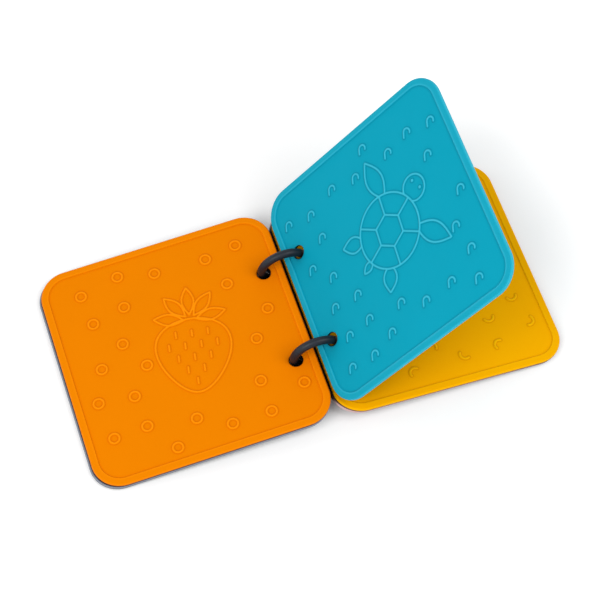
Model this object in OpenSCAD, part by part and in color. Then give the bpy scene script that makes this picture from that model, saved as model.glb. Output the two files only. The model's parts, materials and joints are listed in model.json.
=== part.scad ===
// A bath book: five moulded silicone leaves threaded on two round rings.
// It lies open. The front cover and the orange leaf are turned to the left,
// the yellow leaf and the back cover lie on the right, and the teal leaf is
// raised between them. All leaves turn about the rings' common centre line,
// so a leaf that is turned half way round lies flat on the other stack.
//
// Frame: +X to the right, +Y up the page, +Z up. The origin lies on the
// surface the book rests on, under the middle of the open book.

/* [Leaves] */
// Width of an inner leaf, from its spine edge to its fore edge
leaf_w = 120; // [100:1:140]
// Height of every leaf, along the spine
leaf_h = 120; // [100:1:140]
// Thickness of a leaf over its rims
leaf_t = 2.3; // [2:0.05:2.4]
// How much wider the two cover leaves are than the inner leaves
cover_extra_w = 0.8; // [0:0.1:1.5]
// Radius of a leaf's corners
corner_r = 14.5; // [10:0.5:20]
// Rounding of a leaf's outer edges
edge_r = 0.9; // [0.5:0.05:0.95]
// Air between two leaves that lie on each other
leaf_gap = 0.2; // [0.1:0.05:0.25]

/* [Moulded faces] */
// Width of the raised rim round each face
rim_w = 3.8; // [3:0.1:5]
// Depth of the field inside the rim, on each face
field_d = 0.4; // [0.2:0.05:0.5]
// Width of a moulded ridge
ridge_w = 1; // [0.8:0.05:1.2]
// How far a ridge's crest stays below the rim
crest_drop = 0.05; // [0.02:0.01:0.1]

/* [Holes] */
// Diameter of the two ring holes in each leaf
hole_d = 6.8; // [6.7:0.05:7.2]
// Distance of the hole centres from the spine edge
hole_inset = 10.1; // [9.8:0.05:10.2]
// Distance between the two holes, and so between the two rings
hole_spacing = 50.8; // [40:0.2:70]

/* [Rings] */
// Radius of a ring, to the centre of its cord
ring_r = 11.8; // [11.6:0.05:12.2]
// Diameter of a ring's round cord
cord_d = 4.2; // [3.8:0.05:4.25]

/* [Open book] */
// Angle at which the teal leaf stands above level
teal_lift = 47.8; // [20:0.2:75]
// How far the middle leaf's own plane lies off the rings' centre line
stack_drop = 0.7; // [0.4:0.05:0.8]
// Where each leaf lies in its play on the rings: -1 pushed in, 1 pulled out
front_cover_slip = 0.65; // [0.4:0.05:0.7]
// The same for the orange leaf
orange_slip = -0.85; // [-0.9:0.05:0.5]
// The same for the teal leaf
teal_slip = -0.2; // [-0.8:0.05:0.8]
// The same for the yellow leaf
yellow_slip = -0.4; // [-0.5:0.05:0.3]
// The same for the back cover
back_cover_slip = 0; // [-0.3:0.05:0.6]
// How far the teal leaf has slid up along the spine in its play on the rings
teal_shift = 0.7; // [-0.8:0.1:0.8]
// The same for the yellow leaf
yellow_shift = -0.7; // [-0.8:0.1:0.8]

/* [Orange page] */
// Height of the strawberry's body
berry_h = 40; // [34:1:46]
// Width of the strawberry's body
berry_w = 36; // [30:1:42]
// Outer diameter of a scattered bubble
bubble_d = 6; // [5:0.2:7]
// Distance between neighbouring bubbles
bubble_pitch = 17.8; // [16:0.1:22]

/* [Teal page] */
// Diameter of the turtle's shell
shell_d = 38; // [32:1:42]
// Length of the turtle's front flippers
flipper_l = 23; // [18:1:26]
// Radius of a scattered wavelet's crest
wavelet_r = 1.9; // [1.6:0.1:2.4]
// Distance between neighbouring wavelets
wavelet_pitch = 15.2; // [14:0.1:20]

/* [Yellow page] */
// Diameter of the flower's eye
flower_eye_d = 15; // [12:0.5:18]
// Length of a petal
petal_l = 20; // [16:0.5:23]
// Radius of a scattered crescent
crescent_r = 2.6; // [2:0.1:3]
// Distance between neighbouring crescents
crescent_pitch = 17; // [15:0.1:22]

/* [Hidden] */
$fn = 64;

front_cover_colour = [0.60, 0.63, 0.67];
orange_colour = [0.95, 0.52, 0.02];
teal_colour = [0.06, 0.63, 0.74];
yellow_colour = [0.94, 0.68, 0.02];
back_cover_colour = [0.86, 0.71, 0.71];
ring_colour = [0.15, 0.18, 0.21];

cord_r = cord_d / 2;
hole_r = hole_d / 2;
cover_w = leaf_w + cover_extra_w;
leaf_pitch = leaf_t + leaf_gap;
// Overlap by which one solid sinks into the next before they are joined
sink = 0.2;
// Height of a ridge above its field
ridge_h = field_d - crest_drop;

// Heights of the leaves' middle planes above the rings' centre line, all
// counted as if the leaf lay on the right
teal_z = -stack_drop;
yellow_z = teal_z - leaf_pitch;
back_cover_z = yellow_z - leaf_pitch;
orange_z = teal_z + leaf_pitch;
front_cover_z = orange_z + leaf_pitch;

// Lowest and highest distance of a leaf's faces from the rings' centre line
function near_face(z) = max(0, abs(z) - leaf_t / 2);
function far_face(z) = abs(z) + leaf_t / 2;
// Hole centre at which the cord's outer side meets the hole's wall
function pushed_in(z) = sqrt(pow(ring_r + cord_r, 2) - pow(near_face(z), 2)) - hole_r;
// Hole centre at which the cord's inner side meets the hole's wall
function pulled_out(z) = sqrt(pow(ring_r - cord_r, 2) - pow(far_face(z), 2)) + hole_r;
// Distance of a leaf's hole centres from the rings' centre line
function hole_u(z, slip) =
    (pushed_in(z) + pulled_out(z)) / 2 + slip * (pulled_out(z) - pushed_in(z)) / 2;
// Distance of a leaf's spine edge and fore edge from the rings' centre line
function spine_u(z, slip) = hole_u(z, slip) - hole_inset;
function fore_u(z, slip, w) = spine_u(z, slip) + w;

// The rings stand on the surface
axis_z = ring_r + cord_r;
// Tilt at which the lowest leaf of a stack touches the surface with its fore edge
function rest_tilt(z, slip, w) =
    let (along = fore_u(z, slip, w) - edge_r, below = far_face(z) - edge_r)
    asin((axis_z - edge_r) / norm([along, below])) - atan(below / along);
left_tilt = rest_tilt(front_cover_z, front_cover_slip, cover_w);
right_tilt = rest_tilt(back_cover_z, back_cover_slip, cover_w);
// Furthest reach of a lying leaf, with z counted upwards on its own side
function reach(z, slip, w, tilt) =
    (fore_u(z, slip, w) - edge_r) * cos(tilt)
    + (z + leaf_t / 2 - edge_r) * sin(tilt) + edge_r;
left_reach = max(reach(-front_cover_z, front_cover_slip, cover_w, left_tilt),
                 reach(-orange_z, orange_slip, leaf_w, left_tilt));
right_reach = max(reach(back_cover_z, back_cover_slip, cover_w, right_tilt),
                  reach(yellow_z, yellow_slip, leaf_w, right_tilt));
// The spine stands a little off the middle, so that the origin is the middle
axis_x = (left_reach - right_reach) / 2;
// So do the leaves that lie in the middle of their play along the spine
axis_y = -(max(teal_shift, yellow_shift, 0) + min(teal_shift, yellow_shift, 0)) / 2;

// Puts a leaf in place: turned about the rings' centre line, 0 is flat right
module turned(angle, shift = 0) {
    translate([axis_x, axis_y + shift, axis_z]) rotate([0, -angle, 0]) children();
}

// Flat square with round corners
module round_square(w, h, r) {
    translate([r, 0]) square([w - 2 * r, h]);
    translate([0, r]) square([w, h - 2 * r]);
    for (x = [r, w - r], y = [r, h - r]) translate([x, y]) circle(r);
}

// Section through a leaf's rounded edge, from x = 0 out to x = depth
module edge_section(depth) {
    square([depth - edge_r, leaf_t]);
    translate([0, edge_r]) square([depth, leaf_t - 2 * edge_r]);
    for (y = [edge_r, leaf_t - edge_r]) translate([depth - edge_r, y]) circle(edge_r);
}

// Plate with round corners and rounded edges, from the origin to [w, h, leaf_t]
module plate(w, h) {
    corners = [[w - corner_r, h - corner_r], [corner_r, h - corner_r],
               [corner_r, corner_r], [w - corner_r, corner_r]];
    runs = [h, w, h, w];
    for (i = [0:3]) translate(corners[i]) rotate([0, 0, 90 * i]) {
        rotate_extrude(angle = 90) edge_section(corner_r);
        rotate([90, 0, 0]) linear_extrude(runs[i] - 2 * corner_r) edge_section(corner_r);
    }
    translate([corner_r, corner_r, 0])
        cube([w - 2 * corner_r, h - 2 * corner_r, leaf_t]);
}

// Recess inside the rims of one face, cut down to its field
module field_cut(w) {
    linear_extrude(field_d + sink)
        translate([rim_w, rim_w])
            round_square(w - 2 * rim_w, leaf_h - 2 * rim_w, corner_r - rim_w);
}

// A leaf in its own place about the rings' centre line.
// child 0 is the flat design of the upper face, child 1 of the lower face;
// both are drawn from the middle of the page.
module leaf(z, slip, w) {
    translate([spine_u(z, slip), -leaf_h / 2, z - leaf_t / 2]) difference() {
        union() {
            difference() {
                plate(w, leaf_h);
                translate([0, 0, leaf_t - field_d]) field_cut(w);
                translate([0, 0, -sink]) field_cut(w);
            }
            if ($children > 0)
                translate([w / 2, leaf_h / 2, leaf_t - field_d - sink])
                    linear_extrude(ridge_h + sink) children(0);
            if ($children > 1)
                translate([w / 2, leaf_h / 2, field_d + sink]) rotate([0, 180, 0])
                    linear_extrude(ridge_h + sink) children(1);
        }
        for (side = [-1, 1])
            translate([hole_inset, leaf_h / 2 + side * hole_spacing / 2, -sink])
                cylinder(h = leaf_t + 2 * sink, d = hole_d);
    }
}

// Points of a closed or open line moved sideways by d
function beside(line, d, closed) =
    let (n = len(line))
    [for (i = [0:n - 1])
        let (before = closed ? line[(i + n - 1) % n] : line[max(i - 1, 0)],
             after = closed ? line[(i + 1) % n] : line[min(i + 1, n - 1)],
             way = (after - before) / norm(after - before))
        line[i] + d * [way[1], -way[0]]];
function reversed(line) = [for (i = [len(line) - 1:-1:0]) line[i]];

// Points of the half round end that a ridge running from a to b has at b
function round_end(a, b) =
    let (way = atan2(b[1] - a[1], b[0] - a[0]))
    [for (turn = [-45, 0, 45]) b + ridge_w / 2 * [cos(way + turn), sin(way + turn)]];

// Ridge along an open line, with round ends
module open_ridge(line) {
    last = len(line) - 1;
    polygon(concat(beside(line, ridge_w / 2, false), round_end(line[last - 1], line[last]),
                   reversed(beside(line, -ridge_w / 2, false)), round_end(line[1], line[0])));
}

// Ridge along a closed line that runs counter-clockwise
module closed_ridge(line) {
    difference() {
        polygon(beside(line, ridge_w / 2, true));
        polygon(beside(line, -ridge_w / 2, true));
    }
}

// Round ridge whose outer edge has the diameter d
module ring_ridge(d) {
    difference() {
        circle(d = d);
        circle(d = d - 2 * ridge_w);
    }
}

// Pointed leaf shape from the origin out to [l, 0], w wide
function blade(l, w) =
    concat([for (i = [0:11]) let (s = i / 12) [l * s, -w / 2 * sin(180 * s)]],
           [for (i = [12:-1:1]) let (s = i / 12) [l * s, w / 2 * sin(180 * s)]]);

// Points spread evenly by the golden angle
golden_angle = 137.508;
function spread(count, pitch) =
    [for (i = [1:count])
        let (r = pitch * sqrt(i / PI), a = golden_angle * i) [r * cos(a), r * sin(a)]];
// Clear distance of a mark's centre from the rim, a ring hole and the main drawing
mark_clear = 6;
hole_clear = 8;
drawing_clear = 7;
// How many points are tried for marks; those outside the field are left out
mark_tries = 60;
function in_field(p) =
    abs(p[0]) < leaf_w / 2 - rim_w - mark_clear
    && abs(p[1]) < leaf_h / 2 - rim_w - mark_clear
    && norm([max(abs(p[0]) - leaf_w / 2 + corner_r, 0),
             max(abs(p[1]) - leaf_h / 2 + corner_r, 0)]) < corner_r - rim_w - mark_clear / 2;
// spine is -1 for a page with the spine at its left and 1 for one at its right
function off_holes(p, spine) =
    norm([spine * p[0] - leaf_w / 2 + hole_inset, abs(p[1]) - hole_spacing / 2]) > hole_clear;
function off_drawing(p, centre, half) =
    norm([(p[0] - centre[0]) / half[0], (p[1] - centre[1]) / half[1]]) > 1;
// Places of a page's marks, round a drawing that fills an oval with these half axes
function mark_places(pitch, spine, centre, half) =
    [for (p = spread(mark_tries, pitch))
        if (in_field(p) && off_holes(p, spine) && off_drawing(p, centre, half)) p];

// Strawberry: an egg-shaped body with rows of seeds under a star of sepals
berry_at = [4, -6];
berry_turn = -10;
berry_taper = 0.3;
seed_l = 3;
seed_row = 6.5;
seed_column = 8;
// Clear distance of the seeds from the body's outline
seed_clear = 3.5;
sepal_l = 15;
sepal_w = 6;
sepal_angle = 40;
// Distance of the sepals from the stem's foot, and of the foot below the body's top
sepal_gap = 3.2;
stem_drop = 1;
// Middle of the strawberry with its sepals, and the half axes of the oval it fills
bubble_free_at = [5, 2];
bubble_free = [berry_w / 2 + drawing_clear, berry_h / 2 + sepal_gap + sepal_l - stem_drop];
function berry_half(y) =
    let (c = 2 * y / berry_h) berry_w / 2 * sqrt(max(0, 1 - c * c)) * (1 + berry_taper * c);
module berry() {
    closed_ridge([for (i = [0:47]) let (a = 7.5 * i)
        [berry_w / 2 * cos(a) * (1 + berry_taper * sin(a)), berry_h / 2 * sin(a)]]);
    for (row = [-2:2], column = [-2:2]) {
        x = (column + (row % 2 == 0 ? 0 : 0.5)) * seed_column;
        y = row * seed_row - stem_drop;
        if (abs(x) < berry_half(y) - seed_clear)
            open_ridge([[x, y - seed_l / 2], [x, y + seed_l / 2]]);
    }
    for (i = [-2:2])
        translate([0, berry_h / 2 - stem_drop]) rotate([0, 0, 90 + sepal_angle * i])
            translate([sepal_gap, 0]) closed_ridge(blade(sepal_l, sepal_w));
}
module orange_page() {
    translate(berry_at) rotate([0, 0, berry_turn]) berry();
    for (p = mark_places(bubble_pitch, 1, bubble_free_at, bubble_free))
        translate(p) ring_ridge(bubble_d);
}

// Turtle from above: a shell of seven plates, a head, four flippers and a tail
turtle_at = [5, 2];
turtle_turn = 25;
plate_r = 8.5;
// How far a spoke's ends lie inside the plates and the shell's rim
spoke_lap = 0.4;
head_d = 14;
eye_d = 1.6;
eye_at = [2, 3];
flipper_w = 10;
flipper_angle = 50;
flipper_sweep = 22;
rear_flipper_l = 14;
rear_flipper_w = 8;
rear_flipper_angle = 140;
tail_l = 8;
tail_w = 4;
// How far the head, the tail and a flipper reach in under the shell
head_lap = 2;
flipper_lap = 3;
turtle_free = [1, 1] * (shell_d / 2 + flipper_l - drawing_clear);
module turtle_limb(angle, sweep, l, w, lap) {
    rotate([0, 0, angle]) translate([shell_d / 2 - lap, 0]) rotate([0, 0, sweep])
        closed_ridge(blade(l, w));
}
module turtle() {
    ring_ridge(shell_d);
    closed_ridge([for (i = [0:5]) plate_r * [cos(60 * i), sin(60 * i)]]);
    for (i = [0:5])
        rotate([0, 0, 60 * i])
            open_ridge([[plate_r + spoke_lap, 0], [shell_d / 2 - 2 * spoke_lap, 0]]);
    difference() {
        union() {
            translate([shell_d / 2 + head_d / 2 - head_lap, 0]) {
                ring_ridge(head_d);
                for (side = [-1, 1]) translate([eye_at[0], eye_at[1] * side]) circle(d = eye_d);
            }
            for (side = [-1, 1]) {
                turtle_limb(flipper_angle * side, flipper_sweep * side,
                            flipper_l, flipper_w, flipper_lap);
                turtle_limb(rear_flipper_angle * side, 0,
                            rear_flipper_l, rear_flipper_w, flipper_lap);
            }
            turtle_limb(180, 0, tail_l, tail_w, head_lap);
        }
        circle(d = shell_d - ridge_w);
    }
}
// Wavelet: a crest with one longer leg
wavelet_leg = 2.4;
wavelet_turn = -20;
module wavelet() {
    open_ridge(concat(
        [[-wavelet_r, -wavelet_leg]],
        [for (i = [0:6]) wavelet_r * [cos(180 - 33 * i), sin(180 - 33 * i)]]));
}
module teal_page() {
    translate(turtle_at) rotate([0, 0, turtle_turn]) turtle();
    for (p = mark_places(wavelet_pitch, -1, turtle_at, turtle_free))
        translate(p) rotate([0, 0, wavelet_turn]) wavelet();
}

// Flower with eight petals
flower_at = [6, 2];
petal_count = 8;
petal_w = 10;
// How far a petal reaches in under the eye
petal_lap = 2;
flower_free = [1, 1] * (flower_eye_d / 2 + petal_l - petal_lap + drawing_clear);
module flower() {
    ring_ridge(flower_eye_d);
    ring_ridge(flower_eye_d / 2);
    for (i = [0:petal_count - 1])
        rotate([0, 0, 360 / petal_count * i]) difference() {
            translate([flower_eye_d / 2 - petal_lap, 0]) closed_ridge(blade(petal_l, petal_w));
            circle(d = flower_eye_d - ridge_w);
        }
}
// Crescent: an arc of 150 degrees, turned by its place so that no two lie alike
crescent_half = 75;
crescent_turn = [53, 31];
module crescent() {
    open_ridge([for (i = [-4:4])
        crescent_r * [cos(crescent_half * i / 4), sin(crescent_half * i / 4)]]);
}
module yellow_page() {
    translate(flower_at) flower();
    for (p = mark_places(crescent_pitch, -1, flower_at, flower_free))
        translate(p) rotate([0, 0, crescent_turn * p]) crescent();
}

module front_cover_leaf() {
    color(front_cover_colour) turned(180 + left_tilt)
        leaf(front_cover_z, front_cover_slip, cover_w);
}

module orange_leaf() {
    color(orange_colour) turned(180 + left_tilt)
        leaf(orange_z, orange_slip, leaf_w) {
            union() {}
            orange_page();
        }
}

module teal_leaf() {
    color(teal_colour) turned(teal_lift, teal_shift)
        leaf(teal_z, teal_slip, leaf_w) teal_page();
}

module yellow_leaf() {
    color(yellow_colour) turned(-right_tilt, yellow_shift)
        leaf(yellow_z, yellow_slip, leaf_w) yellow_page();
}

module back_cover_leaf() {
    color(back_cover_colour) turned(-right_tilt)
        leaf(back_cover_z, back_cover_slip, cover_w);
}

// Round ring that stands on the surface and passes through every leaf
module ring(y) {
    color(ring_colour) translate([axis_x, axis_y + y, axis_z]) rotate([90, 0, 0])
        rotate_extrude() translate([ring_r, 0]) circle(r = cord_r);
}
module far_ring() {
    ring(hole_spacing / 2);
}
module near_ring() {
    ring(-hole_spacing / 2);
}

front_cover_leaf();
orange_leaf();
teal_leaf();
yellow_leaf();
back_cover_leaf();
far_ring();
near_ring();
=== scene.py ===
"""Looks of a bath book: five moulded silicone leaves threaded on two round rings.

Every leaf and ring is modelled again around its solid in the frame, with soft
rims, rounded ridges and filleted holes, and keeps that solid's place and size.
Page drawings are worked out in millimetres from the middle of a page, and a
leaf's own place is worked out in millimetres too; meshes end up in metres.
"""

from __future__ import annotations

import json
import logging
import math
from dataclasses import dataclass, field, replace
from enum import Enum
from typing import Any, Sequence

import bpy
import numpy as np
from mathutils import Matrix, Vector
from mathutils.geometry import delaunay_2d_cdt

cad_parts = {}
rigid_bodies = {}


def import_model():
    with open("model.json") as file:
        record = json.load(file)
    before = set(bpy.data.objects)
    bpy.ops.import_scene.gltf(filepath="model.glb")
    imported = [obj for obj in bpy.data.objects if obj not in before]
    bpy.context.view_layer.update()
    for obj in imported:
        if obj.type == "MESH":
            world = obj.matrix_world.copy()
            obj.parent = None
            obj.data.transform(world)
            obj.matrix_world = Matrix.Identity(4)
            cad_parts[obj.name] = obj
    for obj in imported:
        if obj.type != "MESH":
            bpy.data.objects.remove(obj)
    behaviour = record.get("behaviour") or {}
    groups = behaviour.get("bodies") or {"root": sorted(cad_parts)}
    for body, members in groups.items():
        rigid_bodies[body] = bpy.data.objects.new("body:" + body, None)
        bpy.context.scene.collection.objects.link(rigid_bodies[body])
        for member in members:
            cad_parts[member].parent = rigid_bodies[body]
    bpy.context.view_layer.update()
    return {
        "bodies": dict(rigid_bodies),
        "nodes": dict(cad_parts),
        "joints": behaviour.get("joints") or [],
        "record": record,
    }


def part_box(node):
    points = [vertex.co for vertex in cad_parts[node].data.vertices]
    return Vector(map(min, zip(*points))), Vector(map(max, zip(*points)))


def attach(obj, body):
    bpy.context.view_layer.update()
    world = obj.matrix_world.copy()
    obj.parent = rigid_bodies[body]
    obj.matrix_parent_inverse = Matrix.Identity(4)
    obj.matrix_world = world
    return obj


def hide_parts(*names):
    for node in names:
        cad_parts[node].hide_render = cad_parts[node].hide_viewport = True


LOG = logging.getLogger("bath_book")
MM = 0.001
GOLDEN_ANGLE = math.radians(137.508)
LINE_HALF = 0.5
FINE_TURN = 1e-6


def arc(centre: Sequence[float], radius: float, start: float, end: float, count: int) -> np.ndarray:
    """Points along an arc.

    Args:
        centre: Middle of the arc.
        radius: Radius of the arc.
        start: First angle in degrees.
        end: Last angle in degrees.
        count: Number of points, both ends included.

    Returns:
        An array of count points.
    """
    angles = np.radians(np.linspace(start, end, count))
    return np.array(centre) + radius * np.stack([np.cos(angles), np.sin(angles)], axis=1)


def turned(points: np.ndarray, degrees: float) -> np.ndarray:
    """Turns flat points about the origin.

    Args:
        points: The points to turn.
        degrees: Angle, counter-clockwise.

    Returns:
        The turned points.
    """
    a = math.radians(degrees)
    spin = np.array([[math.cos(a), math.sin(a)], [-math.sin(a), math.cos(a)]])
    return np.asarray(points, float) @ spin


def smooth_step(x: np.ndarray) -> np.ndarray:
    """Eases from 0 to 1 with level ends; values outside are held at the ends."""
    x = np.clip(x, 0, 1)
    return x * x * (3 - 2 * x)


@dataclass(frozen=True)
class Stroke:
    """One moulded line of a drawing, given by its middle line.

    Attributes:
        points: Middle line in millimetres.
        closed: Whether the last point joins the first.
        half: Half of the line's width.
    """

    points: np.ndarray
    closed: bool = False
    half: float = LINE_HALF

    @property
    def wider(self) -> float:
        """How much further than usual the line reaches to each side."""
        return self.half - LINE_HALF

    def placed(self, at: Sequence[float] = (0, 0), turn: float = 0) -> Stroke:
        """Returns the stroke turned about the origin and then moved."""
        return replace(self, points=turned(self.points, turn) + np.array(at, float))

    def even(self, step: float) -> np.ndarray:
        """Spreads points evenly along the middle line.

        Args:
            step: Distance between neighbouring points.

        Returns:
            The points; a closed line doesn't repeat its first one.
        """
        line = np.vstack([self.points, self.points[:1]]) if self.closed else self.points
        lengths = np.linalg.norm(np.diff(line, axis=0), axis=1)
        along = np.concatenate([[0], np.cumsum(lengths)])
        count = max(2, int(round(along[-1] / step)) + 1)
        wanted = np.linspace(0, along[-1], count)
        if self.closed:
            wanted = wanted[:-1]
        return np.stack([np.interp(wanted, along, line[:, i]) for i in (0, 1)], axis=1)

    def segments(self) -> tuple[np.ndarray, np.ndarray]:
        """Returns the starts and the ends of the line's straight segments."""
        if self.closed:
            return self.points, np.roll(self.points, -1, axis=0)
        return self.points[:-1], self.points[1:]

    def outside(self, radius: float, step: float = 0.25) -> list[Stroke]:
        """Cuts away what lies inside a circle about the origin.

        Args:
            radius: Radius of that circle.
            step: Spacing at which the line is cut.

        Returns:
            The open strokes that are left, or the stroke itself if it lies clear.
        """
        line = self.even(step)
        kept = np.linalg.norm(line, axis=1) > radius
        if kept.all():
            return [self]
        if self.closed:
            first = int(np.argmin(kept))
            line = np.roll(line, -first, axis=0)
            kept = np.roll(kept, -first)
        runs: list[Stroke] = []
        run: list[np.ndarray] = []
        for point, keep in zip(line, kept):
            if keep:
                run.append(point)
            elif len(run) > 1:
                runs.append(replace(self, points=np.array(run), closed=False))
                run = []
        if len(run) > 1:
            runs.append(replace(self, points=np.array(run), closed=False))
        return runs


def ring_stroke(diameter: float) -> Stroke:
    """Returns a round stroke whose outer edge has this diameter."""
    return Stroke(arc((0, 0), diameter / 2 - LINE_HALF, 0, 360, 73)[:-1], closed=True)


def blade_stroke(length: float, width: float, count: int = 36) -> Stroke:
    """Returns a pointed leaf shape from the origin out along the first axis."""
    s = np.linspace(0, 1, count, endpoint=False)
    out = np.stack([length * s, -width / 2 * np.sin(math.pi * s)], axis=1)
    back = np.stack([length * (1 - s), width / 2 * np.sin(math.pi * s)], axis=1)
    return Stroke(np.vstack([out, back]), closed=True)


@dataclass(frozen=True)
class PageSizes:
    """Sizes that all pages share, in millimetres.

    Attributes:
        width: Width of a page.
        height: Height of a page.
        corner_r: Radius of a page's corners.
        rim_w: Width of the raised rim.
        hole_inset: Distance of the hole centres from the spine edge.
        hole_spacing: Distance between the two holes.
        mark_clear: Clear distance of a mark's centre from the rim.
        hole_clear: Clear distance of a mark's centre from a hole's centre.
        drawing_clear: Clear distance of a mark's centre from the main drawing.
        mark_tries: How many places are tried for marks.
    """

    width: float = 120
    height: float = 120
    corner_r: float = 14.5
    rim_w: float = 3.8
    hole_inset: float = 10.1
    hole_spacing: float = 50.8
    mark_clear: float = 6
    hole_clear: float = 8
    drawing_clear: float = 7
    mark_tries: int = 60

    def in_field(self, p: np.ndarray) -> bool:
        """Tells whether a mark's centre lies well inside the rim."""
        over_x = max(abs(p[0]) - self.width / 2 + self.corner_r, 0)
        over_y = max(abs(p[1]) - self.height / 2 + self.corner_r, 0)
        return (
            abs(p[0]) < self.width / 2 - self.rim_w - self.mark_clear
            and abs(p[1]) < self.height / 2 - self.rim_w - self.mark_clear
            and math.hypot(over_x, over_y) < self.corner_r - self.rim_w - self.mark_clear / 2
        )

    def off_holes(self, p: np.ndarray, spine: int) -> bool:
        """Tells whether a mark's centre lies clear of the ring holes."""
        dx = spine * p[0] - self.width / 2 + self.hole_inset
        dy = abs(p[1]) - self.hole_spacing / 2
        return math.hypot(dx, dy) > self.hole_clear

    def mark_places(
        self, pitch: float, spine: int, centre: Sequence[float], half: Sequence[float]
    ) -> list[np.ndarray]:
        """Spreads marks over a page by the golden angle.

        Args:
            pitch: Distance between neighbouring marks.
            spine: -1 where the spine is at the page's left, 1 where it is at its right.
            centre: Middle of the main drawing.
            half: Half axes of the oval that the main drawing fills.

        Returns:
            The marks' centres.
        """
        places = []
        for i in range(1, self.mark_tries + 1):
            radius = pitch * math.sqrt(i / math.pi)
            p = radius * np.array([math.cos(GOLDEN_ANGLE * i), math.sin(GOLDEN_ANGLE * i)])
            away = math.hypot((p[0] - centre[0]) / half[0], (p[1] - centre[1]) / half[1])
            if self.in_field(p) and self.off_holes(p, spine) and away > 1:
                places.append(p)
        return places


@dataclass(frozen=True)
class StrawberryPage:
    """Strawberry among scattered bubbles, on the orange page.

    Attributes:
        sizes: Sizes that all pages share.
        body_h: Height of the fruit.
        body_w: Width of the fruit.
        taper: How much narrower the fruit gets towards its tip.
        at: Middle of the fruit.
        turn: Turn of the fruit in degrees.
        seed_l: Length of a seed.
        seed_row: Distance between rows of seeds.
        seed_column: Distance between seeds in a row.
        seed_clear: Clear distance of the seeds from the outline.
        sepal_l: Length of a sepal.
        sepal_w: Width of a sepal.
        sepal_angle: Angle between neighbouring sepals.
        sepal_gap: Distance of the sepals from the stem's foot.
        stem_drop: How far the stem's foot lies below the fruit's top.
        free_at: Middle of the oval that stays free of bubbles.
        bubble_d: Outer diameter of a bubble.
        bubble_pitch: Distance between neighbouring bubbles.
    """

    sizes: PageSizes
    body_h: float = 40
    body_w: float = 36
    taper: float = 0.3
    at: tuple[float, float] = (4, -6)
    turn: float = -10
    seed_l: float = 3
    seed_row: float = 6.5
    seed_column: float = 8
    seed_clear: float = 3.5
    sepal_l: float = 15
    sepal_w: float = 6
    sepal_angle: float = 40
    sepal_gap: float = 3.2
    stem_drop: float = 1
    free_at: tuple[float, float] = (5, 2)
    bubble_d: float = 6
    bubble_pitch: float = 17.8

    def half_width(self, y: float) -> float:
        """Returns half of the fruit's width at a height above its middle."""
        c = 2 * y / self.body_h
        return self.body_w / 2 * math.sqrt(max(0, 1 - c * c)) * (1 + self.taper * c)

    def fruit(self) -> list[Stroke]:
        """Returns the strokes of the fruit with its seeds and sepals."""
        a = np.radians(np.arange(0, 360, 5))
        x = self.body_w / 2 * np.cos(a) * (1 + self.taper * np.sin(a))
        strokes = [Stroke(np.stack([x, self.body_h / 2 * np.sin(a)], axis=1), closed=True)]
        for row in range(-2, 3):
            for column in range(-2, 3):
                x0 = (column + 0.5 * (row % 2)) * self.seed_column
                y0 = row * self.seed_row - self.stem_drop
                if abs(x0) < self.half_width(y0) - self.seed_clear:
                    ends = np.array([[x0, y0 - self.seed_l / 2], [x0, y0 + self.seed_l / 2]])
                    strokes.append(Stroke(ends))
        foot = (0, self.body_h / 2 - self.stem_drop)
        for i in range(-2, 3):
            sepal = blade_stroke(self.sepal_l, self.sepal_w).placed((self.sepal_gap, 0))
            strokes.append(sepal.placed(foot, 90 + self.sepal_angle * i))
        return strokes

    def strokes(self) -> list[Stroke]:
        """Returns all strokes of the page, from its middle."""
        half = (
            self.body_w / 2 + self.sizes.drawing_clear,
            self.body_h / 2 + self.sepal_gap + self.sepal_l - self.stem_drop,
        )
        places = self.sizes.mark_places(self.bubble_pitch, 1, self.free_at, half)
        drawing = [s.placed(self.at, self.turn) for s in self.fruit()]
        return drawing + [ring_stroke(self.bubble_d).placed(p) for p in places]


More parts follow.
